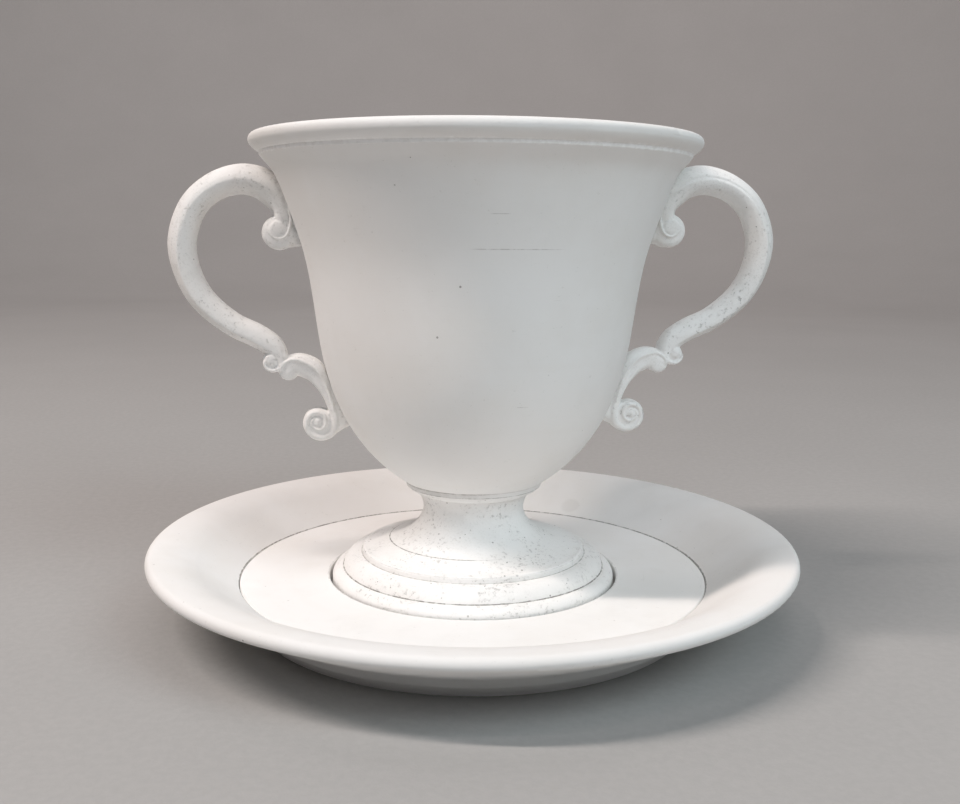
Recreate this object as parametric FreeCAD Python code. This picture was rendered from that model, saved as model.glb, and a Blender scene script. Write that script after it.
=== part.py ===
import FreeCAD, Part
import math
import os

# Plaster model of a two-handled footed cup that stands in the well of its saucer.
# Millimetres, +Z up. The origin is the centre of the saucer's base, on the table.
# The two handles lie along +X and -X. Turned pieces are outlines of (radius, height).

# --- saucer ---
SAUCER_RADIUS = 82.5
BASE_RADIUS = 57.0
BASE_FLARE_RADIUS = 59.8
BASE_FLARE_TOP = 3.4
BASE_EDGE_ROUND = 0.6
LIP_ROUND = 1.6
LIP_CENTRE_Z = 17.7
UNDERSIDE_SLOPE = math.radians(27.5)
UNDERSIDE_COVE_RADIUS = 64.0
FLOOR_Z = 9.8
WELL_FLOOR_Z = 5.8
WALL_SLOPE = math.radians(33.0)
WALL_START_RADIUS = 60.3
CROWN_RADIUS = 80.0
CROWN_CURVE = 17.27
CROWN_Z = 19.27

# --- ring that makes the saucer's floor and the well for the foot ---
RING_OUTER_RADIUS = 60.15
RING_BEVEL = 0.35
WELL_RADIUS = 37.45
WELL_EDGE_ROUND = 0.4

# --- foot ---
PLINTH_RADIUS = 36.7
PLINTH_ROLL_Z = 9.3
ROLL_CREASE = (33.8, 11.9)
RIDGE_LOW = (29.0, 15.4)
RIDGE_HIGH = (28.85, 16.4)
NECK_RADIUS = 13.0
NECK_Z = 26.6
COVE_TOP = (14.2, 31.0)
FOOT_CURVE = [(23.5, 18.3), (18.4, 20.2), (15.0, 22.6), (NECK_RADIUS, NECK_Z)]
FOOT_BOTTOM_BEVEL = 0.5
COLLAR_LOW = (16.5, 32.2)
JOINT_Z = 33.0
COLLAR_RADIUS = 17.2

# --- bowl ---
BOWL_EDGE = (17.85, 34.3)
BOWL_SEAT_RADIUS = 17.4
# The rim is a bead with a round top. Its underside turns in to a narrow upright step above the bowl's curve.
STEP_LOW = (52.8, 115.3)
STEP_HIGH = (52.95, 116.05)
BEAD_UNDERSIDE = [(54.06, 116.75), (55.03, 117.75)]
BEAD_ROUND = 1.5
BEAD_CENTRE = (53.83, 118.8)
RIM_INNER_CENTRE = (52.3, 118.8)
# Points on the bowl's outer curve, from just above its bottom edge up to the rim.
OUTER_CURVE = [
    (24.95, 40.0), (32.5, 50.0), (37.85, 64.0), (40.6, 81.0), (42.6, 92.0), (45.8, 102.0), (49.9, 111.9),
]
# Points on its inner curve, from the rim down, about 4.5 mm inside the outer one.
INNER_CURVE = [
    (43.0, 106.0), (39.5, 98.0), (38.1, 92.0), (36.1, 81.0), (33.2, 64.0), (27.3, 51.6), (16.0, 45.7),
]
INSIDE_BOTTOM_Z = 44.0

# --- dowel and pins ---
DOWEL_RADIUS = 5.0
DOWEL_BOTTOM_Z = 21.0
DOWEL_TOP_Z = 39.0
DOWEL_CHAMFER = 0.8
DOWEL_CLEARANCE = 0.05
SOCKET_DEPTH_SPARE = 0.6
PIN_CLEARANCE = 0.05
UPPER_PIN = {"radius": 1.25, "start": 46.2, "end": 55.0, "z": 108.2}
LOWER_PIN = {"radius": 0.9, "start": 34.2, "end": 41.4, "z": 60.8}

# --- handles: stations along each scroll are (distance from the axis, height, thickness, width) ---
# Made by hand, the +X handle reaches a little further out and sits a little higher than the -X one.
# SPREAD widens the C-scroll beyond SPREAD_FROM. SHIFT moves a whole handle outwards and upwards.
SPREAD_FROM = 48.0
SPREAD = {1: 1.045, -1: 0.985}
SHIFT = {1: (0.2, 0.6), -1: (-0.6, -0.7)}
C_SCROLL = [
    (45.6, 106.0, 9.4, 9.6),
    (49.6, 108.0, 8.9, 9.6),
    (53.6, 109.7, 7.8, 9.4),
    (58.2, 110.4, 7.4, 9.2),
    (64.4, 108.6, 7.0, 9.0),
    (69.8, 103.8, 6.9, 8.8),
    (72.8, 95.3, 6.9, 8.6),
    (71.8, 88.1, 6.6, 8.4),
    (68.3, 81.4, 6.4, 8.0),
    (61.3, 75.3, 6.0, 7.6),
    (55.2, 72.3, 6.0, 7.3),
    (51.3, 69.7, 5.4, 7.1),
    (49.0, 66.3, 4.0, 7.0),
]
LOWER_SCROLL = [
    (48.9, 64.4, 3.6, 7.0),
    (46.6, 64.6, 5.2, 7.0),
    (43.4, 64.0, 6.2, 6.9),
    (39.9, 61.3, 5.3, 6.7),
    (37.4, 57.4, 3.8, 6.5),
    (36.2, 53.4, 3.8, 6.4),
    (37.1, 49.4, 4.4, 6.3),
]
# Volutes are (distance from the axis, height, radius, width, radius of the eye).
VOLUTES = [
    (49.1, 97.3, 4.15, 9.0, 2.2),
    (51.5, 65.7, 2.35, 7.2, 1.3),
    (47.6, 63.3, 2.5, 7.2, 1.3),
    (40.1, 49.9, 4.15, 7.4, 2.0),
]
VOLUTE_EDGE_ROUND = 1.0
SECTION_POINTS = 12
SECTION_SQUARENESS = 0.8
EYE_HEIGHT = 0.5
UPPER_WEB = [(40.0, 94.0), (48.4, 93.4), (50.0, 102.0), (50.0, 106.0), (44.0, 106.0)]
UPPER_WEB_WIDTH = 7.0


def point(radius, height):
    return FreeCAD.Vector(radius, 0, height)


def line(start, end):
    return Part.LineSegment(point(*start), point(*end)).toShape()


def arc(start, middle, end):
    return Part.Arc(point(*start), point(*middle), point(*end)).toShape()


def curve(points, start_direction=None, end_direction=None):
    spline = Part.BSplineCurve()
    options = {"Points": [point(*p) for p in points]}
    if start_direction:
        options["InitialTangent"] = point(*start_direction)
        options["FinalTangent"] = point(*end_direction)
    spline.interpolate(**options)
    return spline.toShape()


def round_arc(centre, radius, start_angle, end_angle):
    """Arc about a centre, with angles in degrees from the +radius direction."""
    angles = (start_angle, (start_angle + end_angle) / 2, end_angle)
    places = [
        (centre[0] + radius * math.cos(math.radians(a)), centre[1] + radius * math.sin(math.radians(a)))
        for a in angles
    ]
    return arc(*places)


def ends(edge):
    first = edge.Curve.value(edge.FirstParameter)
    last = edge.Curve.value(edge.LastParameter)
    return (first.x, first.z), (last.x, last.z)


def turned(edges):
    """Solid of revolution about Z from a closed outline in the XZ plane."""
    face = Part.Face(Part.Wire(edges))
    return face.revolve(FreeCAD.Vector(0, 0, 0), FreeCAD.Vector(0, 0, 1), 360)


def upright_cylinder(radius, bottom, top):
    return Part.makeCylinder(radius, top - bottom, FreeCAD.Vector(0, 0, bottom))


def round_edges(cylinder):
    return [e for e in cylinder.Edges if e.Curve.TypeId == "Part::GeomCircle"]


def saucer_dish():
    edge_round = round_arc((BASE_RADIUS - BASE_EDGE_ROUND, BASE_EDGE_ROUND), BASE_EDGE_ROUND, -90, 0)
    lip_centre = (SAUCER_RADIUS - LIP_ROUND, LIP_CENTRE_Z)
    underside_angle = math.degrees(UNDERSIDE_SLOPE) - 90
    lip = round_arc(lip_centre, LIP_ROUND, underside_angle, 90)
    lip_low, lip_high = ends(lip)
    cove_z = lip_low[1] - (lip_low[0] - UNDERSIDE_COVE_RADIUS) * math.tan(UNDERSIDE_SLOPE)
    cove_end = (UNDERSIDE_COVE_RADIUS, cove_z)
    flare_top = (BASE_FLARE_RADIUS, BASE_FLARE_TOP)
    cove_middle = ((flare_top[0] + cove_end[0]) / 2 - 0.4, (flare_top[1] + cove_end[1]) / 2 + 0.5)
    wall_angle = math.degrees(WALL_SLOPE)
    crown_centre = (CROWN_RADIUS, CROWN_Z - CROWN_CURVE)
    crown = round_arc(crown_centre, CROWN_CURVE, 90, 90 + wall_angle)
    crown_top, wall_top = ends(crown)
    wall_foot = (WALL_START_RADIUS, wall_top[1] - (wall_top[0] - WALL_START_RADIUS) * math.tan(WALL_SLOPE))
    edges = [
        line((0, 0), (BASE_RADIUS - BASE_EDGE_ROUND, 0)),
        edge_round,
        line((BASE_RADIUS, BASE_EDGE_ROUND), flare_top),
        arc(flare_top, cove_middle, cove_end),
        line(cove_end, lip_low),
        lip,
        line(lip_high, crown_top),
        crown,
        line(wall_top, wall_foot),
        line(wall_foot, (WALL_START_RADIUS, WELL_FLOOR_Z)),
        line((WALL_START_RADIUS, WELL_FLOOR_Z), (0, WELL_FLOOR_Z)),
        line((0, WELL_FLOOR_Z), (0, 0)),
    ]
    return turned(edges)


def well_ring():
    rounded = WELL_RADIUS + WELL_EDGE_ROUND
    edges = [
        line((WELL_RADIUS, WELL_FLOOR_Z), (RING_OUTER_RADIUS, WELL_FLOOR_Z)),
        line((RING_OUTER_RADIUS, WELL_FLOOR_Z), (RING_OUTER_RADIUS, FLOOR_Z - RING_BEVEL)),
        line((RING_OUTER_RADIUS, FLOOR_Z - RING_BEVEL), (RING_OUTER_RADIUS - RING_BEVEL, FLOOR_Z)),
        line((RING_OUTER_RADIUS - RING_BEVEL, FLOOR_Z), (rounded, FLOOR_Z)),
        round_arc((rounded, FLOOR_Z - WELL_EDGE_ROUND), WELL_EDGE_ROUND, 90, 180),
        line((WELL_RADIUS, FLOOR_Z - WELL_EDGE_ROUND), (WELL_RADIUS, WELL_FLOOR_Z)),
    ]
    return turned(edges)


def dowel_hole(bottom, top):
    return upright_cylinder(DOWEL_RADIUS + DOWEL_CLEARANCE, bottom, top)


def cup_foot():
    roll = arc((PLINTH_RADIUS, PLINTH_ROLL_Z), (PLINTH_RADIUS - 0.9, PLINTH_ROLL_Z + 2.0), ROLL_CREASE)
    ovolo_middle = (ROLL_CREASE[0] - 1.2, RIDGE_LOW[1] - 1.1)
    shoulder = (RIDGE_HIGH[0] - 1.1, RIDGE_HIGH[1] + 0.6)
    shoulder_middle = (RIDGE_HIGH[0] - 0.3, RIDGE_HIGH[1] + 0.45)
    sweep = curve(
        [shoulder] + FOOT_CURVE + [COVE_TOP],
        start_direction=(-1, 0.12),
        end_direction=(0.45, 1),
    )
    bevel_start = PLINTH_RADIUS - FOOT_BOTTOM_BEVEL
    bevel_end = WELL_FLOOR_Z + FOOT_BOTTOM_BEVEL
    edges = [
        line((0, WELL_FLOOR_Z), (bevel_start, WELL_FLOOR_Z)),
        line((bevel_start, WELL_FLOOR_Z), (PLINTH_RADIUS, bevel_end)),
        line((PLINTH_RADIUS, bevel_end), (PLINTH_RADIUS, PLINTH_ROLL_Z)),
        roll,
        arc(ROLL_CREASE, ovolo_middle, RIDGE_LOW),
        line(RIDGE_LOW, RIDGE_HIGH),
        arc(RIDGE_HIGH, shoulder_middle, shoulder),
        sweep,
        line(COVE_TOP, COLLAR_LOW),
        line(COLLAR_LOW, (COLLAR_RADIUS, JOINT_Z)),
        line((COLLAR_RADIUS, JOINT_Z), (0, JOINT_Z)),
        line((0, JOINT_Z), (0, WELL_FLOOR_Z)),
    ]
    return turned(edges).cut(dowel_hole(DOWEL_BOTTOM_Z, JOINT_Z))


def neck_dowel():
    dowel = upright_cylinder(DOWEL_RADIUS, DOWEL_BOTTOM_Z, DOWEL_TOP_Z)
    return dowel.makeChamfer(DOWEL_CHAMFER, round_edges(dowel))


def bowl_outside():
    """Outer curve of the bowl, from its bottom edge up to the step under the rim."""
    return curve([BOWL_EDGE] + OUTER_CURVE + [STEP_LOW], start_direction=(1.5, 1), end_direction=(0.85, 1))


def bowl_inside():
    """Inner curve, from the rim down to the axis."""
    rim_inner = (RIM_INNER_CENTRE[0] - BEAD_ROUND, RIM_INNER_CENTRE[1])
    return curve(
        [rim_inner] + INNER_CURVE + [(0, INSIDE_BOTTOM_Z)],
        start_direction=(-0.55, -1),
        end_direction=(-1, 0),
    )


def rim_edges():
    """Edges from the step under the bead, over the top of the rim, to its inner side."""
    bead = round_arc(BEAD_CENTRE, BEAD_ROUND, 0, 90)
    bead_side, bead_top = ends(bead)
    inner = round_arc(RIM_INNER_CENTRE, BEAD_ROUND, 90, 180)
    return [
        line(STEP_LOW, STEP_HIGH),
        curve([STEP_HIGH] + BEAD_UNDERSIDE + [bead_side], start_direction=(1, 0.5), end_direction=(0, 1)),
        bead,
        line(bead_top, ends(inner)[0]),
        inner,
    ]


def filled_bowl():
    """The bowl's outer shape with nothing taken out, used to trim the handles to it."""
    rim = rim_edges()
    rim_inner = ends(rim[-1])[1]
    edges = [
        line((0, JOINT_Z), (BOWL_SEAT_RADIUS, JOINT_Z)),
        line((BOWL_SEAT_RADIUS, JOINT_Z), BOWL_EDGE),
        bowl_outside(),
        *rim,
        line(rim_inner, (0, rim_inner[1])),
        line((0, rim_inner[1]), (0, JOINT_Z)),
    ]
    return turned(edges)


def cup_bowl():
    edges = [
        line((0, JOINT_Z), (BOWL_SEAT_RADIUS, JOINT_Z)),
        line((BOWL_SEAT_RADIUS, JOINT_Z), BOWL_EDGE),
        bowl_outside(),
        *rim_edges(),
        bowl_inside(),
        line((0, INSIDE_BOTTOM_Z), (0, JOINT_Z)),
    ]
    bowl = turned(edges).cut(dowel_hole(JOINT_Z, DOWEL_TOP_Z + SOCKET_DEPTH_SPARE))
    for side in (1, -1):
        for pin in (UPPER_PIN, LOWER_PIN):
            bowl = bowl.cut(handle_pin(pin, side, PIN_CLEARANCE))
    return bowl


def handle_pin(pin, side, clearance=0.0):
    length = pin["end"] - pin["start"]
    start = FreeCAD.Vector(side * pin["start"], 0, pin["z"])
    return Part.makeCylinder(pin["radius"] + clearance, length, start, FreeCAD.Vector(side, 0, 0))


def section(place, along, thickness, width):
    """Closed smooth section between an oval and a rounded rectangle, square to the path."""
    across = FreeCAD.Vector(0, 1, 0).cross(along).normalize()
    out = FreeCAD.Vector(0, 1, 0)
    points = []
    for step in range(SECTION_POINTS):
        turn = 2 * math.pi * step / SECTION_POINTS
        c = math.copysign(abs(math.cos(turn)) ** SECTION_SQUARENESS, math.cos(turn))
        s = math.copysign(abs(math.sin(turn)) ** SECTION_SQUARENESS, math.sin(turn))
        points.append(place + across * (thickness / 2 * c) + out * (width / 2 * s))
    loop = Part.BSplineCurve()
    loop.interpolate(Points=points, PeriodicFlag=True)
    return Part.Wire(loop.toShape())


def scroll(stations):
    path = Part.BSplineCurve()
    places = [point(x, z) for x, z, thickness, width in stations]
    path.interpolate(Points=places)
    sections = []
    for place, (x, z, thickness, width) in zip(places, stations):
        along = FreeCAD.Vector(path.tangent(path.parameter(place))[0])
        sections.append(section(place, along, thickness, width))
    return Part.makeLoft(sections, True, False)


def volute(x, z, radius, width, eye_radius):
    axis = FreeCAD.Vector(0, 1, 0)
    disc = Part.makeCylinder(radius, width, FreeCAD.Vector(x, -width / 2, z), axis)
    disc = disc.makeFillet(VOLUTE_EDGE_ROUND, round_edges(disc))
    eye_width = width + 2 * EYE_HEIGHT
    eye = Part.makeCylinder(eye_radius, eye_width, FreeCAD.Vector(x, -eye_width / 2, z), axis)
    return disc.fuse(eye)


def upper_web():
    corners = [FreeCAD.Vector(x, -UPPER_WEB_WIDTH / 2, z) for x, z in UPPER_WEB]
    outline = Part.makePolygon(corners + corners[:1])
    return Part.Face(outline).extrude(FreeCAD.Vector(0, UPPER_WEB_WIDTH, 0))


def handle(side):
    reach = SPREAD[side]
    shape = scroll([(SPREAD_FROM + (x - SPREAD_FROM) * reach, *rest) for x, *rest in C_SCROLL])
    for piece in [scroll(LOWER_SCROLL), upper_web()] + [volute(*v) for v in VOLUTES]:
        shape = shape.fuse(piece)
    outwards, upwards = SHIFT[side]
    shape.translate(point(outwards, upwards))
    shape = shape.cut(filled_bowl())
    for pin in (UPPER_PIN, LOWER_PIN):
        shape = shape.cut(handle_pin(pin, 1, PIN_CLEARANCE))
    if side < 0:
        shape.rotate(FreeCAD.Vector(0, 0, 0), FreeCAD.Vector(0, 0, 1), 180)
    return shape


PIECES = {
    "saucer_dish": saucer_dish(),
    "well_ring": well_ring(),
    "cup_foot": cup_foot(),
    "neck_dowel": neck_dowel(),
    "cup_bowl": cup_bowl(),
    "handle_right": handle(1),
    "handle_left": handle(-1),
    "upper_pin_right": handle_pin(UPPER_PIN, 1),
    "upper_pin_left": handle_pin(UPPER_PIN, -1),
    "lower_pin_right": handle_pin(LOWER_PIN, 1),
    "lower_pin_left": handle_pin(LOWER_PIN, -1),
}

os.makedirs("parts", exist_ok=True)
for name, shape in PIECES.items():
    shape.exportStep("parts/" + name + ".step")
    print(name, "solids", len(shape.Solids), "valid", shape.isValid(), "volume", round(shape.Volume, 1))
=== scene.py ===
import bpy
import bmesh
import math
import numpy as np
from mathutils import Matrix, Vector


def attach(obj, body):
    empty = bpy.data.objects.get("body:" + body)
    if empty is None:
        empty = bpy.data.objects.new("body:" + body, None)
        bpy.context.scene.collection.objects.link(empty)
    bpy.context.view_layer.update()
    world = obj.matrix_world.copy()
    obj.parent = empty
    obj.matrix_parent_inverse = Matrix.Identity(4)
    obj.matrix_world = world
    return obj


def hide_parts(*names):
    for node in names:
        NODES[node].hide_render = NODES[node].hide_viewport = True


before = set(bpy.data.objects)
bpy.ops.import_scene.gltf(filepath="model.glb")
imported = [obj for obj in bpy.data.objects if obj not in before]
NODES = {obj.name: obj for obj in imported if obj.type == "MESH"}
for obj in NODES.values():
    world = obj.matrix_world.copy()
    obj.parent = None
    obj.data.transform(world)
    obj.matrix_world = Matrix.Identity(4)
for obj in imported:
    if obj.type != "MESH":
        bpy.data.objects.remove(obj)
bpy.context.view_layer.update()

MM = 0.001

# ---------------------------------------------------------------- camera
IMAGE_WIDTH = 960
FOCAL_PIXELS = 1052.5
SENSOR = 36.0
CAMERA_DISTANCE = 0.2675
CAMERA_HEIGHT = 0.098
HANDLE_TURN = math.radians(6.52)
YAW = math.radians(0.32)
PITCH = math.radians(9.28)
ROLL = math.radians(0.5)
CLIP_START = 10 * MM


def make_camera():
    """Looks along +Y from in front, turned so that the -X handle comes nearer."""
    forward = Vector((
        math.sin(YAW) * math.cos(PITCH),
        math.cos(YAW) * math.cos(PITCH),
        -math.sin(PITCH),
    ))
    level_right = Vector((math.cos(YAW), -math.sin(YAW), 0))
    level_up = level_right.cross(forward)
    right = level_right * math.cos(ROLL) + level_up * math.sin(ROLL)
    up = right.cross(forward)
    place = Vector((0, -CAMERA_DISTANCE, CAMERA_HEIGHT))
    facing = Matrix((right, up, -forward)).transposed().to_4x4()
    turn = Matrix.Rotation(-HANDLE_TURN, 4, "Z")
    data = bpy.data.cameras.new("camera")
    data.sensor_width = SENSOR
    data.lens = SENSOR * FOCAL_PIXELS / IMAGE_WIDTH
    data.clip_start = CLIP_START
    camera = bpy.data.objects.new("camera", data)
    camera.matrix_world = turn @ Matrix.Translation(place) @ facing
    bpy.context.scene.collection.objects.link(camera)
    bpy.context.scene.camera = camera


# ---------------------------------------------------------------- node helpers
class Graph:
    """Short calls that add shader nodes and link them."""

    # Numbers of the Mix node's colour sockets.
    COLOUR_A = 6
    COLOUR_B = 7
    COLOUR_RESULT = 2

    def __init__(self, name):
        self.material = bpy.data.materials.new(name)
        self.material.use_nodes = True
        self.tree = self.material.node_tree
        self.shader = self.tree.nodes["Principled BSDF"]

    def node(self, kind, **settings):
        made = self.tree.nodes.new(kind)
        for key, value in settings.items():
            setattr(made, key, value)
        return made

    def put(self, socket, value):
        if hasattr(value, "is_output"):
            self.tree.links.new(value, socket)
        else:
            socket.default_value = value

    def math(self, operation, a, b=0.0):
        made = self.node("ShaderNodeMath", operation=operation)
        self.put(made.inputs[0], a)
        self.put(made.inputs[1], b)
        return made.outputs[0]

    def vector(self, operation, a, b=None):
        made = self.node("ShaderNodeVectorMath", operation=operation)
        self.put(made.inputs[0], a)
        if b is not None:
            self.put(made.inputs[1], b)
        return made.outputs["Value"] if operation == "LENGTH" else made.outputs["Vector"]

    def noise(self, where, scale, detail, roughness):
        made = self.node("ShaderNodeTexNoise")
        self.put(made.inputs["Vector"], where)
        self.put(made.inputs["Scale"], scale)
        self.put(made.inputs["Detail"], detail)
        self.put(made.inputs["Roughness"], roughness)
        return made.outputs["Fac"]

    def cells(self, where, scale):
        made = self.node("ShaderNodeTexVoronoi", feature="F1")
        self.put(made.inputs["Vector"], where)
        self.put(made.inputs["Scale"], scale)
        return made.outputs["Distance"], made.outputs["Color"]

    def step(self, value, low, high, out_low=0.0, out_high=1.0):
        made = self.node("ShaderNodeMapRange", interpolation_type="SMOOTHSTEP")
        self.put(made.inputs["Value"], value)
        self.put(made.inputs["From Min"], low)
        self.put(made.inputs["From Max"], high)
        self.put(made.inputs["To Min"], out_low)
        self.put(made.inputs["To Max"], out_high)
        return made.outputs["Result"]

    def mix(self, factor, a, b):
        made = self.node("ShaderNodeMix", data_type="RGBA")
        self.put(made.inputs["Factor"], factor)
        self.put(made.inputs[self.COLOUR_A], a)
        self.put(made.inputs[self.COLOUR_B], b)
        return made.outputs[self.COLOUR_RESULT]

    def bump(self, height, strength, distance):
        made = self.node("ShaderNodeBump")
        self.put(made.inputs["Strength"], strength)
        self.put(made.inputs["Distance"], distance)
        self.put(made.inputs["Height"], height)
        return made.outputs["Normal"]


# ---------------------------------------------------------------- plaster
# The palest colour is a painted highlight, laid along the step under the bowl's rim.
PAINTED_HIGHLIGHT = (0.960, 0.955, 0.945, 1)
CLEAN = (0.895, 0.888, 0.874, 1)
CREAMY = (0.862, 0.845, 0.816, 1)
# The dusty colour is dust in patches and grit, and also a painted warm reflection on the saucer
# beside the neck.
DUST_AND_REFLECTION = (0.600, 0.580, 0.548, 1)
# The darkest colour is dirt in specks and creases, and also painted shade: in the gap round the
# well, under the collar, and on the left at the bowl's foot.
GRIME_AND_SHADE = (0.165, 0.148, 0.126, 1)
RUBBED = (0.420, 0.410, 0.395, 1)

# Scales of noises and cells, in features per metre.
CLOUD_SCALE = 28
PATCH_SCALE = 75
LUMP_SCALE = 520
GRAIN_SCALE = 2600
FINE_LINE_SCALE = 1500
BROAD_LINE_SCALE = 240
SCRATCH_SCALE = 3300
SCRATCH_ZONE_SCALE = 55
PIT_SCALE = 1150
PIT_ZONE_SCALE = 110
SAND_SCALE = 1900
SAND_ZONE_SCALE = 90
SPECK_SCALE = 210
FINE_SPECK_SCALE = 640
MARK_WANDER_SCALE = 700
MARK_BREAK_SCALE = 520
SEAM_BREAK_SCALE = 480

PATCH_OFFSET = (0.31, 0.17, 0.05)
SCRATCH_STRENGTH = 0.2
FAINTEST_SPECK = 0.12
DARKEST_SPECK = 0.66
PLASTER_BUMP = 0.6
PLASTER_RELIEF = 0.16 * MM


def cylinder_coordinates(g, coordinates):
    parts = g.node("ShaderNodeSeparateXYZ")
    g.put(parts.inputs[0], coordinates)
    x, y, z = parts.outputs
    radius = g.math("SQRT", g.math("ADD", g.math("MULTIPLY", x, x), g.math("MULTIPLY", y, y)))
    return x, y, z, radius


def round_the_axis(g, x, y, z, radius, stretch):
    """Coordinates in which a noise is drawn out along the turning direction."""
    ring = g.node("ShaderNodeCombineXYZ")
    g.put(ring.inputs[0], radius)
    g.put(ring.inputs[1], z)
    g.put(ring.inputs[2], g.math("MULTIPLY", g.math("ARCTAN2", y, x), stretch))
    return ring.outputs[0]


def ring_mark(g, colour, mark, coordinates, x, y, z, radius, crease):
    """Uneven line of the mark's colour: dirt in a crease, a scratch, painted shade or a painted
    highlight. A crease is (radius, height, half width, strength), with the middle and half span of
    its arc in degrees if it isn't a whole ring. Lengths are in metres, and a radius of None stands
    for any radius."""
    ring_radius, ring_height, half_width, strength, *span = crease
    away = g.node("ShaderNodeCombineXYZ")
    if ring_radius is not None:
        g.put(away.inputs[0], g.math("SUBTRACT", radius, ring_radius))
    g.put(away.inputs[1], g.math("SUBTRACT", z, ring_height))
    wander = g.math("SUBTRACT", g.noise(coordinates, MARK_WANDER_SCALE, 2, 0.6), 0.5)
    wander = g.math("MULTIPLY", wander, half_width)
    distance = g.math("ADD", g.vector("LENGTH", away.outputs[0]), wander)
    line = g.step(distance, half_width * 0.3, half_width, strength, 0.0)
    broken = g.step(g.noise(coordinates, MARK_BREAK_SCALE, 3, 0.7), 0.36, 0.58, 0.35, 1.0)
    line = g.math("MULTIPLY", line, broken)
    if span:
        middle, half_span = (math.radians(angle) for angle in span)
        towards = g.math("MULTIPLY", x, math.cos(middle))
        towards = g.math("ADD", towards, g.math("MULTIPLY", y, math.sin(middle)))
        cosine = g.math("DIVIDE", towards, radius)
        in_arc = g.step(cosine, math.cos(half_span), math.cos(half_span * 0.6))
        line = g.math("MULTIPLY", line, in_arc)
    return g.mix(line, colour, mark)


def add_specks(g, colour, coordinates, scale, share, smallest, spread):
    """Dark dots of uneven size. One cell in every 1/share has a dot. Its radius runs from
    smallest to smallest + spread, in cells."""
    near, tint = g.cells(coordinates, scale)
    chosen = g.node("ShaderNodeSeparateColor")
    g.put(chosen.inputs[0], tint)
    picked = g.math("GREATER_THAN", chosen.outputs[0], 1.0 - share)
    size = g.math("ADD", g.math("MULTIPLY", chosen.outputs[1], spread), smallest)
    shade = g.step(chosen.outputs[2], 0.0, 1.0, FAINTEST_SPECK, DARKEST_SPECK)
    speck = g.math("MULTIPLY", g.math("MULTIPLY", g.math("LESS_THAN", near, size), picked), shade)
    return g.mix(speck, colour, GRIME_AND_SHADE)


def toned(colour, tone):
    return tuple(tone * channel for channel in colour[:3]) + (1,)


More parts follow.
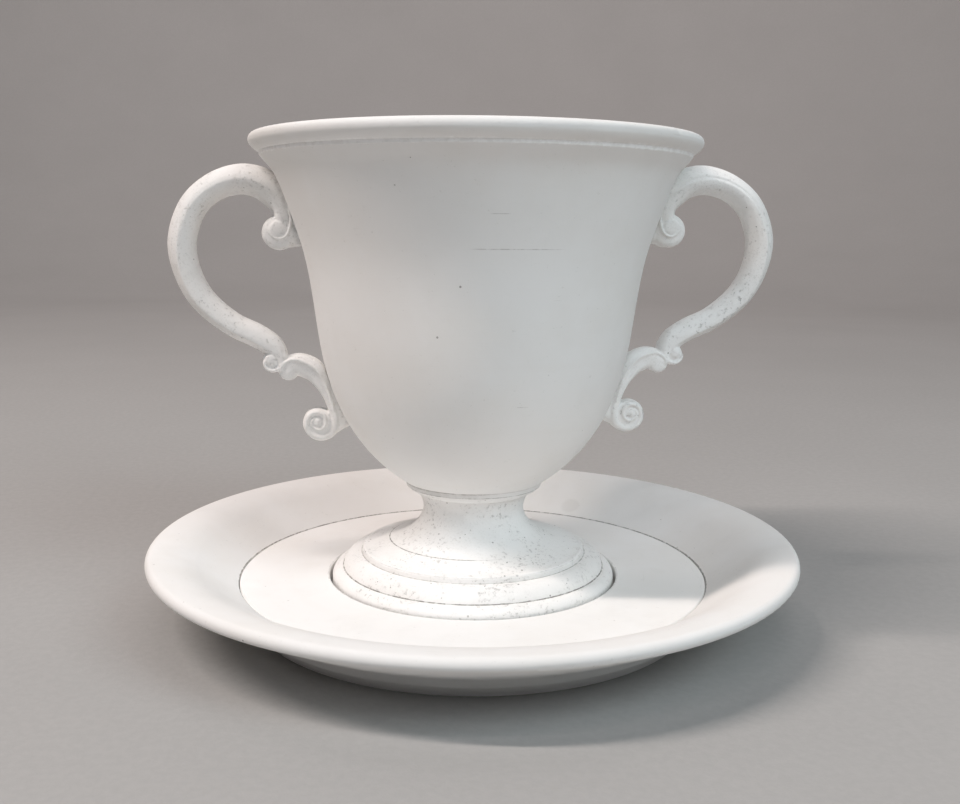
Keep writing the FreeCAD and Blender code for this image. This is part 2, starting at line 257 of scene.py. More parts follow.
def plaster(name, rough, specks, fine_specks, turned=True, mottle=0.10, pitted=0.2,
            dirt_in_pits=0.2, grit=0.0, tone=1.0, creases=(), painted_highlights=(), stains_and_reflections=()):
    """Dry unglazed plaster, from smooth and turned to rough, pitted and gritty, with lines of
    painted highlight where given.
    Stains and painted warm reflections are each (centre, radius, soft edge, strength)."""
    g = Graph(name)
    coordinates = g.node("ShaderNodeTexCoord").outputs["Object"]
    x, y, z, radius = cylinder_coordinates(g, coordinates)

    clouds = g.noise(coordinates, CLOUD_SCALE, 4, 0.6)
    patches = g.noise(g.vector("ADD", coordinates, PATCH_OFFSET), PATCH_SCALE, 4, 0.6)
    grain = g.noise(coordinates, GRAIN_SCALE, 3, 0.6)
    lumps = g.noise(coordinates, LUMP_SCALE, 4, 0.6)
    colour = g.mix(g.step(clouds, 0.40, 0.68, 0.0, 0.7), toned(CLEAN, tone), toned(CREAMY, tone))
    colour = g.mix(g.step(patches, 0.50, 0.78, 0.0, mottle), colour, DUST_AND_REFLECTION)
    fine_relief = g.math("MULTIPLY", grain, 0.35 * rough)
    height = g.math("ADD", fine_relief, g.math("MULTIPLY", lumps, 1.1 * rough))

    if turned:
        fine_rings = round_the_axis(g, x, y, z, radius, 0.0012)
        fine = g.noise(fine_rings, FINE_LINE_SCALE, 3, 0.7)
        broad_rings = round_the_axis(g, x, y, z, radius, 0.003)
        broad = g.noise(broad_rings, BROAD_LINE_SCALE, 2, 0.5)
        height = g.math("ADD", height, g.math("MULTIPLY", fine, 0.16))
        colour = g.mix(g.step(broad, 0.56, 0.76, 0.0, 0.20), colour, toned(CREAMY, tone))
        scratch_rings = round_the_axis(g, x, y, z, radius, 0.0016)
        scratch_noise = g.noise(scratch_rings, SCRATCH_SCALE, 1, 0.5)
        scratch_zone = g.step(g.noise(coordinates, SCRATCH_ZONE_SCALE, 2, 0.5), 0.52, 0.62)
        scratch = g.math("MULTIPLY", g.step(scratch_noise, 0.74, 0.79), scratch_zone)
        colour = g.mix(g.math("MULTIPLY", scratch, SCRATCH_STRENGTH), colour, RUBBED)
        height = g.math("SUBTRACT", height, g.math("MULTIPLY", scratch, 0.3))

    pit_noise = g.noise(coordinates, PIT_SCALE, 3, 0.65)
    pit_zone = g.step(g.noise(coordinates, PIT_ZONE_SCALE, 3, 0.6), 0.40, 0.62)
    pit_level = 0.66 - 0.09 * pitted
    pit = g.math("MULTIPLY", g.step(pit_noise, pit_level, pit_level + 0.07), pit_zone)
    height = g.math("SUBTRACT", height, g.math("MULTIPLY", pit, 2.2 * rough))
    colour = g.mix(g.math("MULTIPLY", pit, dirt_in_pits), colour, RUBBED)
    if grit:
        sand = g.step(g.noise(coordinates, SAND_SCALE, 2, 0.7), 0.52, 0.70)
        sandy = g.step(g.noise(coordinates, SAND_ZONE_SCALE, 3, 0.6), 0.38, 0.62, 0.3, 1.0)
        colour = g.mix(g.math("MULTIPLY", g.math("MULTIPLY", sand, sandy), grit), colour, DUST_AND_REFLECTION)

    colour = add_specks(g, colour, coordinates, SPECK_SCALE, specks, 0.012, 0.030)
    colour = add_specks(g, colour, coordinates, FINE_SPECK_SCALE, fine_specks, 0.080, 0.090)
    # Dark crease lines: dirt, and painted shade where noted.
    for crease in creases:
        colour = ring_mark(g, colour, GRIME_AND_SHADE, coordinates, x, y, z, radius, crease)
    # Lines of painted highlight.
    for crease in painted_highlights:
        colour = ring_mark(g, colour, PAINTED_HIGHLIGHT, coordinates, x, y, z, radius, crease)
    # Stains, and painted warm reflections.
    for centre, spot_radius, edge, strength in stains_and_reflections:
        away = g.vector("LENGTH", g.vector("SUBTRACT", coordinates, centre))
        inside = g.step(away, spot_radius - edge, spot_radius, strength, 0.0)
        colour = g.mix(inside, colour, DUST_AND_REFLECTION)

    return g, colour, height, grain, coordinates


def finish_plaster(g, colour, height, grain):
    g.put(g.shader.inputs["Base Color"], colour)
    g.put(g.shader.inputs["Roughness"], g.step(grain, 0.3, 0.7, 0.74, 0.92))
    g.put(g.shader.inputs["Specular IOR Level"], 0.25)
    g.put(g.shader.inputs["Normal"], g.bump(height, PLASTER_BUMP, PLASTER_RELIEF))
    return g.material


def turned_plaster(name, **looks):
    g, colour, height, grain, _ = plaster(name, **looks)
    return finish_plaster(g, colour, height, grain)


def handle_plaster(name):
    """Cast plaster, greyer in hollows and where the handle is luted to the bowl."""
    g, colour, height, grain, coordinates = plaster(
        name, rough=1.3, turned=False, specks=0.06, fine_specks=0.20, mottle=0.20, pitted=0.8,
        dirt_in_pits=0.45, grit=0.34)
    hollow = g.node("ShaderNodeAttribute", attribute_name="cavity").outputs["Fac"]
    seam = g.node("ShaderNodeAttribute", attribute_name="seam").outputs["Fac"]
    broken = g.step(g.noise(coordinates, SEAM_BREAK_SCALE, 3, 0.7), 0.38, 0.64, 0.25, 1.0)
    hollow_grey = g.math("MULTIPLY", g.step(hollow, 0.30, 1.0, 0.0, 0.50), broken)
    colour = g.mix(hollow_grey, colour, RUBBED)
    luting = g.math("MULTIPLY", seam, broken)
    colour = g.mix(g.math("MULTIPLY", luting, 0.62), colour, RUBBED)
    height = g.math("ADD", height, g.math("MULTIPLY", luting, 0.8))
    return finish_plaster(g, colour, height, grain)


def drawn_metal(name, colour, dark):
    """Plain drawn wire with faint lines along its length, which lies along X."""
    g = Graph(name)
    coordinates = g.node("ShaderNodeTexCoord").outputs["Object"]
    drawn = g.vector("MULTIPLY", coordinates, (0.08, 1.0, 1.0))
    lines = g.noise(drawn, 4200, 3, 0.6)
    tarnish = g.noise(coordinates, 600, 3, 0.6)
    g.put(g.shader.inputs["Base Color"], g.mix(g.step(tarnish, 0.35, 0.75, 0.0, 0.6), colour, dark))
    g.put(g.shader.inputs["Metallic"], 1.0)
    g.put(g.shader.inputs["Roughness"], g.step(lines, 0.3, 0.7, 0.28, 0.48))
    g.put(g.shader.inputs["Normal"], g.bump(lines, 0.3, 0.03 * MM))
    return g.material


def dowel_wood(name):
    """Pale beech with its grain along the dowel."""
    g = Graph(name)
    coordinates = g.node("ShaderNodeTexCoord").outputs["Object"]
    drawn = g.vector("MULTIPLY", coordinates, (1.0, 1.0, 0.07))
    grain = g.noise(drawn, 1600, 4, 0.6)
    flecks = g.noise(drawn, 5200, 2, 0.5)
    colour = g.mix(grain, (0.62, 0.43, 0.26, 1), (0.44, 0.28, 0.15, 1))
    fleck = g.step(flecks, 0.62, 0.72, 0.0, 0.5)
    g.put(g.shader.inputs["Base Color"], g.mix(fleck, colour, (0.26, 0.15, 0.08, 1)))
    g.put(g.shader.inputs["Roughness"], g.step(grain, 0.3, 0.7, 0.55, 0.72))
    g.put(g.shader.inputs["Normal"], g.bump(grain, 0.4, 0.08 * MM))
    return g.material


def studio_floor_material():
    """Matt pale grey with faint clouds and a fine grain."""
    g = Graph("studio_floor")
    coordinates = g.node("ShaderNodeTexCoord").outputs["Object"]
    clouds = g.noise(coordinates, 7, 4, 0.6)
    grain = g.noise(coordinates, 420, 3, 0.6)
    colour = g.mix(clouds, (0.375, 0.370, 0.361, 1), (0.425, 0.420, 0.411, 1))
    dark_grain = g.step(grain, 0.3, 0.7, 0.0, 0.2)
    g.put(g.shader.inputs["Base Color"], g.mix(dark_grain, colour, (0.340, 0.335, 0.330, 1)))
    g.put(g.shader.inputs["Roughness"], g.step(grain, 0.3, 0.7, 0.75, 0.95))
    g.put(g.shader.inputs["Normal"], g.bump(grain, 0.3, 0.3 * MM))
    return g.material


def paint(obj, material):
    obj.data.materials.clear()
    obj.data.materials.append(material)


# ---------------------------------------------------------------- handles
# Stations along a strap are (distance from the cup's axis, height, thickness, width), in
# millimetres. The C-scroll comes down over the lower curl and thins away underneath it.
C_SCROLL = [
    (48.9, 99.2, 3.4, 7.8),
    (48.2, 101.3, 4.6, 8.4),
    (48.1, 104.0, 6.5, 8.9),
    (49.9, 107.3, 8.0, 9.3),
    (53.5, 109.6, 7.7, 9.4),
    (58.1, 110.4, 7.4, 9.3),
    (64.4, 108.6, 6.9, 9.1),
    (69.8, 103.9, 6.8, 8.9),
    (72.8, 95.5, 6.9, 8.7),
    (71.8, 88.1, 6.6, 8.4),
    (68.3, 81.4, 6.4, 8.1),
    (61.3, 75.3, 6.0, 7.7),
    (54.9, 72.1, 6.0, 7.4),
    (51.2, 69.6, 5.4, 7.2),
    (49.3, 67.1, 3.6, 7.1),
    (49.2, 65.2, 2.2, 7.0),
    (50.3, 64.1, 1.5, 6.9),
    (51.8, 63.9, 1.2, 6.8),
    (53.1, 64.8, 1.0, 6.7),
    (53.4, 66.2, 0.8, 6.5),
]
UPPER_RIDGE = [
    (47.0, 105.6, 1.0, 9.3),
    (46.2, 102.6, 1.1, 9.2),
    (46.1, 100.3, 1.1, 9.1),
    (46.4, 98.6, 1.1, 9.1),
    (47.2, 97.0, 1.1, 9.1),
    (48.7, 96.2, 1.1, 9.0),
    (50.1, 96.5, 1.0, 8.9),
    (51.2, 97.7, 0.7, 8.5),
    (51.5, 98.9, 0.4, 8.0),
]
LOWER_SCROLL = [
    (48.4, 64.0, 3.0, 6.8),
    (47.1, 64.9, 4.6, 7.0),
    (45.4, 65.1, 5.5, 7.0),
    (43.5, 64.7, 5.8, 7.0),
    (41.4, 63.6, 5.7, 6.9),
    (39.6, 61.3, 4.6, 6.8),
    (38.0, 57.9, 3.1, 6.6),
    (36.9, 54.6, 2.5, 6.4),
    (36.1, 51.0, 2.6, 6.3),
    (36.8, 48.2, 2.5, 6.4),
    (39.2, 46.8, 2.2, 6.6),
    (41.8, 47.5, 2.1, 6.8),
    (43.2, 49.9, 2.0, 6.9),
    (42.4, 52.4, 1.9, 7.0),
    (40.4, 53.2, 1.7, 7.0),
    (38.7, 52.1, 1.5, 7.0),
    (38.5, 50.1, 1.3, 7.0),
    (39.9, 48.9, 1.2, 7.0),
    (41.5, 49.5, 1.1, 7.0),
    (42.0, 50.9, 0.9, 7.0),
    (41.2, 51.8, 0.7, 7.0),
]
LOWER_CREST = [
    (49.3, 63.6, 1.0, 7.2),
    (49.0, 65.0, 1.2, 7.4),
    (47.6, 66.2, 1.4, 7.5),
    (46.0, 66.6, 1.4, 7.5),
    (44.1, 66.2, 1.4, 7.5),
    (42.0, 65.2, 1.4, 7.4),
    (40.1, 63.5, 1.3, 7.3),
    (38.7, 61.3, 1.2, 7.1),
    (37.7, 58.8, 1.1, 6.9),
    (37.0, 56.3, 1.0, 6.7),
    (36.4, 53.6, 0.8, 6.4),
]
UPPER_WEB = [
    (42.0, 98.3, 7.2, 6.0),
    (44.6, 97.6, 6.6, 6.6),
    (47.6, 97.2, 6.6, 7.0),
]
LOWER_WEB = [
    (32.4, 51.9, 4.6, 4.6),
    (34.8, 50.9, 5.0, 5.2),
    (37.4, 49.7, 5.4, 5.8),
]
BACK_WEB = [
    (38.4, 62.2, 1.6, 5.4),
    (37.1, 58.6, 2.0, 5.2),
    (35.9, 55.4, 2.4, 5.0),
    (34.8, 52.4, 2.6, 4.8),
]
LUTING = [
    (48.0, 107.8, 1.6, 8.0),
    (46.4, 104.3, 2.0, 7.8),
    (45.0, 100.4, 2.0, 7.4),
    (43.8, 96.4, 1.8, 6.8),
]
# Discs are (distance from the axis, height, radius, width, how far the rim of the face drops back).
DISCS = [
    (49.0, 97.6, 4.2, 7.9, 0.55),
    (49.2, 98.5, 2.1, 9.1, 0.30),
    (51.4, 66.1, 2.4, 6.4, 0.60),
    (51.7, 66.6, 1.4, 7.3, 0.30),
    (47.4, 63.8, 2.5, 6.9, 0.55),
    (40.1, 50.0, 3.9, 6.2, 0.50),
    (40.5, 50.8, 1.1, 7.2, 0.35),
]
SPREAD_FROM = 48.0
SPREAD = {"handle_right": 1.045, "handle_left": 0.985}
SHIFT = {"handle_right": (0.2, 0.6), "handle_left": (-0.6, -0.7)}
GROOVE = {"handle_right": 0.45, "handle_left": 0.12}
SWEEP_STEP = 0.3
SECTION_POINTS = 72
SECTION_POWER = 0.78
FACE_FADE = 0.5
DISC_SIDES = 40
DISC_FLAT_SHARE = 0.7
DISC_ROLL = 0.25
VOXEL = 0.2 * MM
SOFTEN_FACTOR = 0.5
SOFTEN_ROUNDS = 3
BOWL_SLICES = 160
SEAT_DEPTH = 1.3 * MM
SEAM_START = 0.2 * MM
SEAM_REACH = 1.7 * MM
SEAM_FOOT = 93 * MM
SEAM_FADE = 2 * MM
CAVITY_ROUNDS = 6
CAVITY_DEPTH = 0.10 * MM


def smooth_path(stations):
    """Dense stations on a centripetal Catmull-Rom curve through the given ones."""
    given = np.array(stations, dtype=float)
    first = 2 * given[0] - given[1]
    last = 2 * given[-1] - given[-2]
    knots = np.vstack([first, given, last])
    gaps = np.sqrt(np.linalg.norm(np.diff(knots[:, :2], axis=0), axis=1))
    times = np.concatenate([[0], np.cumsum(gaps)])
    dense = []
    for i in range(1, len(knots) - 2):
        t0, t1, t2, t3 = times[i - 1:i + 3]
        p0, p1, p2, p3 = knots[i - 1:i + 3]
        count = max(2, round(np.linalg.norm((p2 - p1)[:2]) / SWEEP_STEP))
        for t in np.linspace(t1, t2, count, endpoint=False):
            a1 = (t1 - t) / (t1 - t0) * p0 + (t - t0) / (t1 - t0) * p1
            a2 = (t2 - t) / (t2 - t1) * p1 + (t - t1) / (t2 - t1) * p2
            a3 = (t3 - t) / (t3 - t2) * p2 + (t - t2) / (t3 - t2) * p3
            b1 = (t2 - t) / (t2 - t0) * a1 + (t - t0) / (t2 - t0) * a2
            b2 = (t3 - t) / (t3 - t1) * a2 + (t - t1) / (t3 - t1) * a3
            dense.append((t2 - t) / (t2 - t1) * b1 + (t - t1) / (t2 - t1) * b2)
    dense.append(given[-1])
    return np.array(dense)


def bell(value, centre, width):
    return np.exp(-((value - centre) / width) ** 2)


def ramp(value, low, high):
    t = np.clip((value - low) / (high - low), 0, 1)
    return t * t * (3 - 2 * t)


def c_scroll_relief(across, share, groove):
    """Height in mm to add to the strap's face. across is -1 at its inner edge and 1 at its outer
    edge. A blunt edge runs along the face. Outside it is a flat bevel, and inside it the face
    rounds away."""
    crown, bevel_depth, rounding_depth = 0.35, 1.9, 1.1
    faded = ramp(share, 0.04, 0.14) * (1 - ramp(share, 0.82, 0.90))
    edge = 0.10 + 0.34 * ramp(share, 0.36, 0.66)
    bevel = -bevel_depth * np.clip((across - edge) / (1 - edge), 0, 1)
    rounding = -rounding_depth * np.clip((edge - across) / (1 + edge), 0, 1) ** 1.6
    line = -groove * bell(across, edge + 0.06, 0.055) * (1 - ramp(share, 0.46, 0.60))
    return faded * (crown + bevel + rounding + line)


def lower_scroll_relief(across, share, groove):
    """A shallow channel along the strap, below its crest."""
    along = ramp(share, 0.04, 0.12) * (1 - ramp(share, 0.36, 0.46))
    channel_depth = 0.50
    return -channel_depth * along * bell(across, 0.10, 0.42)


def no_relief(across, share, groove):
    return 0.0 * across


def sweep(stations, relief, name, groove=0.0):
    """Closed strap along the path, its section a rounded box with relief on both faces."""
    path = smooth_path(stations)
    along = np.gradient(path[:, :2], axis=0)
    along /= np.linalg.norm(along, axis=1)[:, None]
    outer = np.stack([-along[:, 1], along[:, 0]], axis=1)
    turns = np.linspace(0, 2 * math.pi, SECTION_POINTS, endpoint=False)
    across = np.sign(np.cos(turns)) * np.abs(np.cos(turns)) ** SECTION_POWER
    face = np.sign(np.sin(turns)) * np.abs(np.sin(turns)) ** SECTION_POWER
    steps = np.linalg.norm(np.diff(path[:, :2], axis=0), axis=1)
    length = np.concatenate([[0], np.cumsum(steps)])
    points = []
    for (x, z, thickness, width), (out_x, out_z), share in zip(path, outer, length / length[-1]):
        raised = relief(across, share, groove) * np.abs(face) ** FACE_FADE
        depth = face * width / 2 + np.sign(face) * raised
        points += [
            Vector((x + out_x * n * thickness / 2, y, z + out_z * n * thickness / 2)) * MM
            for n, y in zip(across, depth)
        ]
    count = SECTION_POINTS
    faces = []
    for ring in range(len(path) - 1):
        for k in range(count):
            following = (k + 1) % count
            faces.append((
                ring * count + k, ring * count + following,
                (ring + 1) * count + following, (ring + 1) * count + k,
            ))
    mesh = bpy.data.meshes.new(name)
    ends = [tuple(reversed(range(count))), tuple(range(len(points) - count, len(points)))]
    mesh.from_pydata(points, [], faces + ends)
    return mesh


def disc(x, z, radius, width, drop, name):
    """Round body or eye of a volute: a disc whose two faces are domed and roll over at the edge."""
    flat_shares = np.linspace(0, DISC_FLAT_SHARE, 6)
    roll_turns = np.linspace(0.15, math.pi / 2, 8)
    edge_share = 1 - DISC_FLAT_SHARE
    shares = np.concatenate([flat_shares, 1 - edge_share * np.cos(roll_turns)])
    rings = []
    for share in shares:
        past_flat = max(0.0, (share - DISC_FLAT_SHARE) / edge_share)
        roll = 1 - math.sqrt(max(0.0, 1 - past_flat ** 2))
        depth = width / 2 - drop * share ** 2 - DISC_ROLL * radius * roll
        rings.append((share * radius, depth))
    rings += [(r, -depth) for r, depth in reversed(rings)]
    count = DISC_SIDES
    points, faces = [], []
    for r, y in rings:
        for k in range(count):
            turn = 2 * math.pi * k / count
            points.append(Vector((x + r * math.cos(turn), y, z + r * math.sin(turn))) * MM)
    for ring in range(len(rings) - 1):
        for k in range(count):
            following = (k + 1) % count
            faces.append((
                ring * count + k, (ring + 1) * count + k,
                (ring + 1) * count + following, ring * count + following,
            ))
    mesh = bpy.data.meshes.new(name)
    mesh.from_pydata(points, [], faces)
    shaped = bmesh.new()
    shaped.from_mesh(mesh)
    bmesh.ops.remove_doubles(shaped, verts=shaped.verts, dist=1e-6)
    bmesh.ops.recalc_face_normals(shaped, faces=shaped.faces)
    shaped.to_mesh(mesh)
    shaped.free()
    return mesh


def joined(meshes, name):
    whole = bmesh.new()
    for mesh in meshes:
        whole.from_mesh(mesh)
        bpy.data.meshes.remove(mesh)
    bmesh.ops.recalc_face_normals(whole, faces=whole.faces)
    mesh = bpy.data.meshes.new(name)
    whole.to_mesh(mesh)
    whole.free()
    obj = bpy.data.objects.new(name, mesh)
    bpy.context.scene.collection.objects.link(obj)
    return obj


def apply_modifiers(obj):
    """Keeps the modified shape as the object's own mesh."""
    evaluated = obj.evaluated_get(bpy.context.evaluated_depsgraph_get())
    shaped = bpy.data.meshes.new_from_object(evaluated)
    obj.modifiers.clear()
    old = obj.data
    obj.data = shaped
    bpy.data.meshes.remove(old)


def vertex_places(mesh):
    places = np.empty(len(mesh.vertices) * 3)
    mesh.vertices.foreach_get("co", places)
    return places.reshape(-1, 3)


def bowl_radius_at():
    """Function that gives the bowl's outer radius at a height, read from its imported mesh."""
    places = vertex_places(NODES["cup_bowl"].data)
    radii = np.hypot(places[:, 0], places[:, 1])
    heights = np.linspace(places[:, 2].min(), places[:, 2].max(), BOWL_SLICES)
    slots = np.clip(np.searchsorted(heights, places[:, 2]), 0, len(heights) - 1)
    outer = np.zeros(len(heights))
    np.maximum.at(outer, slots, radii)
    filled = outer > 0
    return lambda height: np.interp(height, heights[filled], outer[filled])


def cavity(mesh):
    """How hollow the surface is at each vertex, from 0 to 1, for greying the hollows."""
    places = vertex_places(mesh)
    normals = np.empty(len(mesh.vertices) * 3)
    mesh.vertices.foreach_get("normal", normals)
    normals = normals.reshape(-1, 3)
    edges = np.empty(len(mesh.edges) * 2, dtype=int)
    mesh.edges.foreach_get("vertices", edges)
    edges = edges.reshape(-1, 2)
    count = np.bincount(edges.ravel(), minlength=len(places)).astype(float)
    smooth = places.copy()
    for _ in range(CAVITY_ROUNDS):
        total = np.zeros_like(smooth)
        np.add.at(total, edges[:, 0], smooth[edges[:, 1]])
        np.add.at(total, edges[:, 1], smooth[edges[:, 0]])
        smooth = 0.5 * smooth + 0.5 * total / count[:, None]
    hollow = np.einsum("ij,ij->i", smooth - places, normals)
    return np.clip(hollow / CAVITY_DEPTH, 0, 1)


def add_measure(mesh, name, values):
    """Point attribute that the handle's material reads."""
    mesh.attributes.new(name, "FLOAT", "POINT").data.foreach_set("value", values)


def make_handle(name, bowl_radius):
    """Detailed handle in place of the CAD one: straps and discs made into one skin, pressed out
    of the bowl's wall, with its hollows and the luting marked."""
    reach = SPREAD[name]
    wide = [(SPREAD_FROM + (x - SPREAD_FROM) * reach, *rest) for x, *rest in C_SCROLL]
    meshes = [
        sweep(wide, c_scroll_relief, "c_scroll", GROOVE[name]),
        sweep(UPPER_RIDGE, no_relief, "upper_ridge"),
        sweep(LOWER_SCROLL, lower_scroll_relief, "lower_scroll"),
        sweep(LOWER_CREST, no_relief, "lower_crest"),
        sweep(UPPER_WEB, no_relief, "upper_web"),
        sweep(LOWER_WEB, no_relief, "lower_web"),
        sweep(BACK_WEB, no_relief, "back_web"),
        sweep(LUTING, no_relief, "luting"),
    ]
    meshes += [disc(*measures, "disc") for measures in DISCS]
    handle = joined(meshes, "detailed_" + name)
    remesh = handle.modifiers.new("join", "REMESH")
    remesh.mode = "VOXEL"
    remesh.voxel_size = VOXEL
    soften = handle.modifiers.new("soften", "SMOOTH")
    soften.factor = SOFTEN_FACTOR
    soften.iterations = SOFTEN_ROUNDS
    apply_modifiers(handle)

    mesh = handle.data
    places = vertex_places(mesh)
    outwards, upwards = SHIFT[name]
    places[:, 0] += outwards * MM
    places[:, 2] += upwards * MM
    if name == "handle_left":
        places[:, :2] *= -1
    radii = np.hypot(places[:, 0], places[:, 1])
    bowl = bowl_radius(places[:, 2])
    push = np.maximum(1.0, (bowl - SEAT_DEPTH) / np.maximum(radii, 1e-6))
    places[:, :2] *= push[:, None]
    mesh.vertices.foreach_set("co", places.ravel())
    mesh.update()
    add_measure(mesh, "cavity", cavity(mesh))
    near_bowl = 1 - ramp(radii - bowl, SEAM_START, SEAM_REACH)
    above_foot = ramp(places[:, 2], SEAM_FOOT, SEAM_FOOT + SEAM_FADE)
    add_measure(mesh, "seam", near_bowl * above_foot)
    mesh.shade_smooth()
    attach(handle, "bowl")
    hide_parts(name)
    return handle


# ---------------------------------------------------------------- stage
BEND_START = 1.2
BEND_RADIUS = 0.8
BEND_STEPS = 24
BACKDROP_TOP = 2.5
FLOOR_SIDES = 96
WORLD_STRENGTH = 0.02


def make_floor():
    """Pale floor that curves up into a round backdrop far away on every side."""
    profile = [(0.15, 0.0), (0.5, 0.0), (BEND_START, 0.0)]
    for step in range(1, BEND_STEPS + 1):
        turn = math.pi / 2 * step / BEND_STEPS
        out, up = math.sin(turn), 1 - math.cos(turn)
        profile.append((BEND_START + BEND_RADIUS * out, BEND_RADIUS * up))
    profile.append((BEND_START + BEND_RADIUS, BACKDROP_TOP))
    points = [(0.0, 0.0, 0.0)]
    for radius, z in profile:
        for k in range(FLOOR_SIDES):
            turn = 2 * math.pi * k / FLOOR_SIDES
            points.append((radius * math.cos(turn), radius * math.sin(turn), z))
    faces = [(0, 1 + k, 1 + (k + 1) % FLOOR_SIDES) for k in range(FLOOR_SIDES)]
    for ring in range(len(profile) - 1):
        inner = 1 + ring * FLOOR_SIDES
        outer = inner + FLOOR_SIDES
        for k in range(FLOOR_SIDES):
            following = (k + 1) % FLOOR_SIDES
            faces.append((inner + k, outer + k, outer + following, inner + following))
    mesh = bpy.data.meshes.new("studio_floor")
    mesh.from_pydata(points, [], faces)
    mesh.shade_smooth()
    floor = bpy.data.objects.new("studio_floor", mesh)
    bpy.context.scene.collection.objects.link(floor)
    paint(floor, studio_floor_material())


def add_panel(name, place, size, watts, colour, aim=(0, 0, 0.05)):
    """The place and aim are as seen from the camera: +X to its right, +Y away from it.
    The panel's long side is level."""
    turn = Matrix.Rotation(-HANDLE_TURN, 3, "Z")
    behind = (Vector(place) - Vector(aim)).normalized()
    level = (Vector((1, 0, 0)) - behind * behind.x).normalized()
    facing = Matrix((level, behind.cross(level), behind)).transposed()
    data = bpy.data.lights.new(name, "AREA")
    data.shape = "RECTANGLE"
    data.size, data.size_y = size
    data.energy = watts
    data.color = colour
    light = bpy.data.objects.new(name, data)
    light.location = turn @ Vector(place)
    light.rotation_euler = (turn @ facing).to_euler()
    bpy.context.scene.collection.objects.link(light)


def make_lights():
    """Narrow rows high in front and to the left, a light high behind, wide soft fills in front
    and to the right, and a light for the backdrop."""
    warm, neutral = (1.0, 0.895, 0.846), (1.0, 0.90, 0.89)
    pale_blue, cool = (0.83, 0.92, 1.0), (0.81, 0.94, 1.0)
    left_places = [(-0.907, -0.281, 0.957), (-0.723, -0.320, 1.083), (-0.513, -0.353, 1.190)]
    for number, place in enumerate(left_places):
        add_panel("left_row_%d" % number, place, (0.25, 0.06), 3.75, warm)
    add_panel("right_row", (0.115, -0.608, 1.197), (0.70, 0.06), 1.5, neutral)
    add_panel("high_back", (0.0, 0.374, 1.295), (1.0, 0.30), 2.5, neutral)
    add_panel("front_fill", (0.0, -1.024, 0.850), (0.7, 0.5), 2.6, pale_blue)
    add_panel("right_fill", (0.785, -0.658, 0.850), (0.7, 0.5), 6.4, cool)
    backdrop_aim = (0.0, 2.0, 0.35)
    add_panel("backdrop_light", (0.0, 0.95, 1.30), (1.6, 0.4), 9.0, neutral, aim=backdrop_aim)
    world = bpy.data.worlds.new("studio")
    world.use_nodes = True
    background = world.node_tree.nodes["Background"]
    background.inputs["Color"].default_value = (1.0, 1.0, 1.0, 1)
    background.inputs["Strength"].default_value = WORLD_STRENGTH
    bpy.context.scene.world = world
    bpy.context.scene.view_settings.view_transform = "Standard"


make_camera()
make_floor()
make_lights()

# Creases mark the corners and joints of the turned pieces with dark lines. Most are dirt that stays
# there;
# those noted below are painted shade. Those with an arc, or with a height alone, are partial lines
# and tool scratches. ring_mark says what their numbers are.
SAUCER_SEAM = [
    (60.25 * MM, 9.8 * MM, 0.24 * MM, 0.25),
    (60.25 * MM, 9.8 * MM, 0.30 * MM, 0.65, 90, 165),
]
# Painted shade in the gap between the well's edge and the cup's foot.
WELL_GAP_SHADE = (37.8 * MM, 9.6 * MM, 0.35 * MM, 0.30)
# A stain on the back wall, and a painted warm reflection on the wall right of the neck.
SAUCER_STAIN_AND_REFLECTION = [
    ((22 * MM, 66 * MM, 13 * MM), 5.2 * MM, 2.0 * MM, 0.12),
    ((36.7 * MM, 52 * MM, 12.4 * MM), 3.4 * MM, 1.2 * MM, 0.18),
]
FOOT_CREASES_AND_SHADE = [
    (33.8 * MM, 11.9 * MM, 0.30 * MM, 0.80),
    (29.1 * MM, 15.4 * MM, 0.22 * MM, 0.50),
    (28.6 * MM, 16.6 * MM, 0.20 * MM, 0.30),
    (21.85 * MM, 18.95 * MM, 0.21 * MM, 0.85, 205, 80),
    (36.7 * MM, 8.9 * MM, 1.10 * MM, 0.22),
    (17.3 * MM, 33.0 * MM, 0.25 * MM, 0.55),
    # A faint ring of painted shade under the collar, where the cove begins.
    (14.3 * MM, 31.1 * MM, 0.30 * MM, 0.16),
]
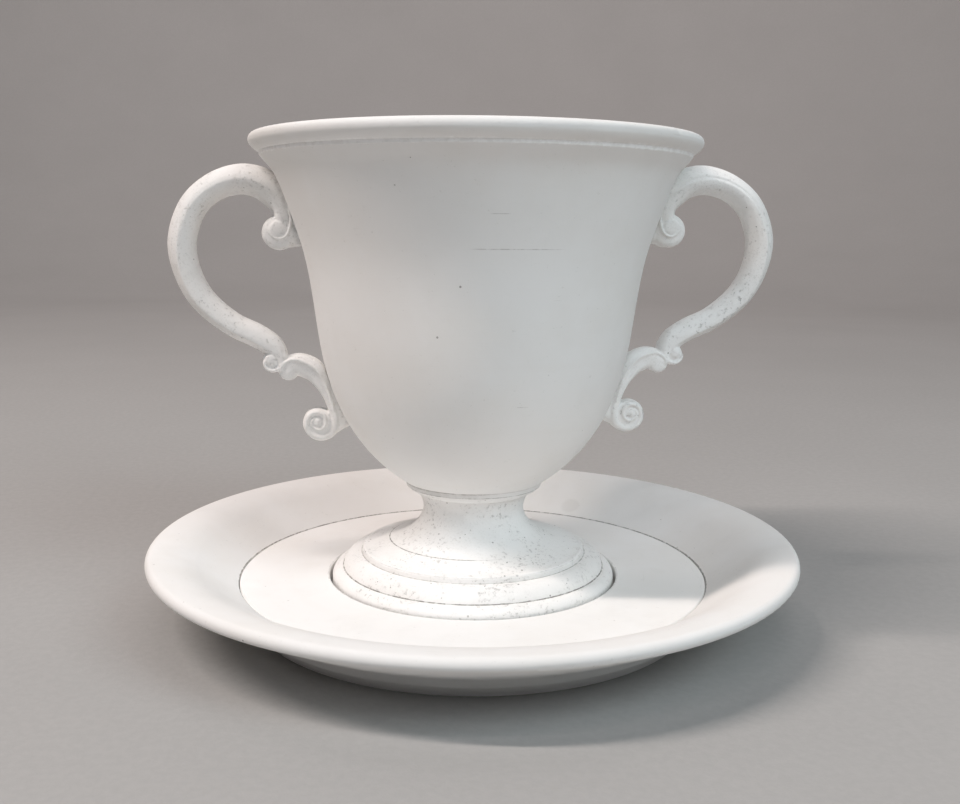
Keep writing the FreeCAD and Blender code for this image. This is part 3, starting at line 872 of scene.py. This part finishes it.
BOWL_CREASES_AND_SHADE = [
    (17.4 * MM, 33.0 * MM, 0.25 * MM, 0.55),
    (17.85 * MM, 34.3 * MM, 0.22 * MM, 0.18),
    # The next two arcs are painted shade in the band between the bowl's edge and the collar, on the
    # left.
    (17.8 * MM, 34.2 * MM, 0.30 * MM, 0.32, 222, 66),
    (17.6 * MM, 33.6 * MM, 0.95 * MM, 0.13, 222, 60),
    (None, 94.0 * MM, 0.12 * MM, 0.45, -84, 15),
    (None, 101.4 * MM, 0.10 * MM, 0.30, -90, 3),
    (None, 58.8 * MM, 0.12 * MM, 0.35, -79, 2.5),
]
# Painted highlight along the step under the rim's bead.
RIM_STEP_HIGHLIGHT = (None, 115.7 * MM, 0.70 * MM, 1.0)
looks = {
    "saucer_dish": dict(
        rough=0.16, specks=0.03, fine_specks=0.012, tone=0.99,
        creases=SAUCER_SEAM, stains_and_reflections=SAUCER_STAIN_AND_REFLECTION,
    ),
    "well_ring": dict(
        rough=0.14, specks=0.03, fine_specks=0.012, tone=1.02,
        creases=SAUCER_SEAM + [WELL_GAP_SHADE],
    ),
    "cup_foot": dict(
        rough=0.65, specks=0.12, fine_specks=0.46, mottle=0.14, pitted=1.0, dirt_in_pits=0.5,
        grit=0.20, tone=1.03, creases=FOOT_CREASES_AND_SHADE,
    ),
    "cup_bowl": dict(
        rough=0.18, specks=0.03, fine_specks=0.012, mottle=0.06, tone=0.96,
        creases=BOWL_CREASES_AND_SHADE, painted_highlights=[RIM_STEP_HIGHLIGHT],
    ),
}
for name, look in looks.items():
    paint(NODES[name], turned_plaster(name + "_plaster", **look))
bowl_radius = bowl_radius_at()
for name in ("handle_left", "handle_right"):
    handle = make_handle(name, bowl_radius)
    paint(handle, handle_plaster(name + "_plaster"))
brass = drawn_metal("pin_brass_wire", (0.72, 0.53, 0.25, 1), (0.42, 0.29, 0.13, 1))
for name in ("upper_pin_right", "upper_pin_left", "lower_pin_right", "lower_pin_left"):
    paint(NODES[name], brass)
paint(NODES["neck_dowel"], dowel_wood("dowel_beech"))
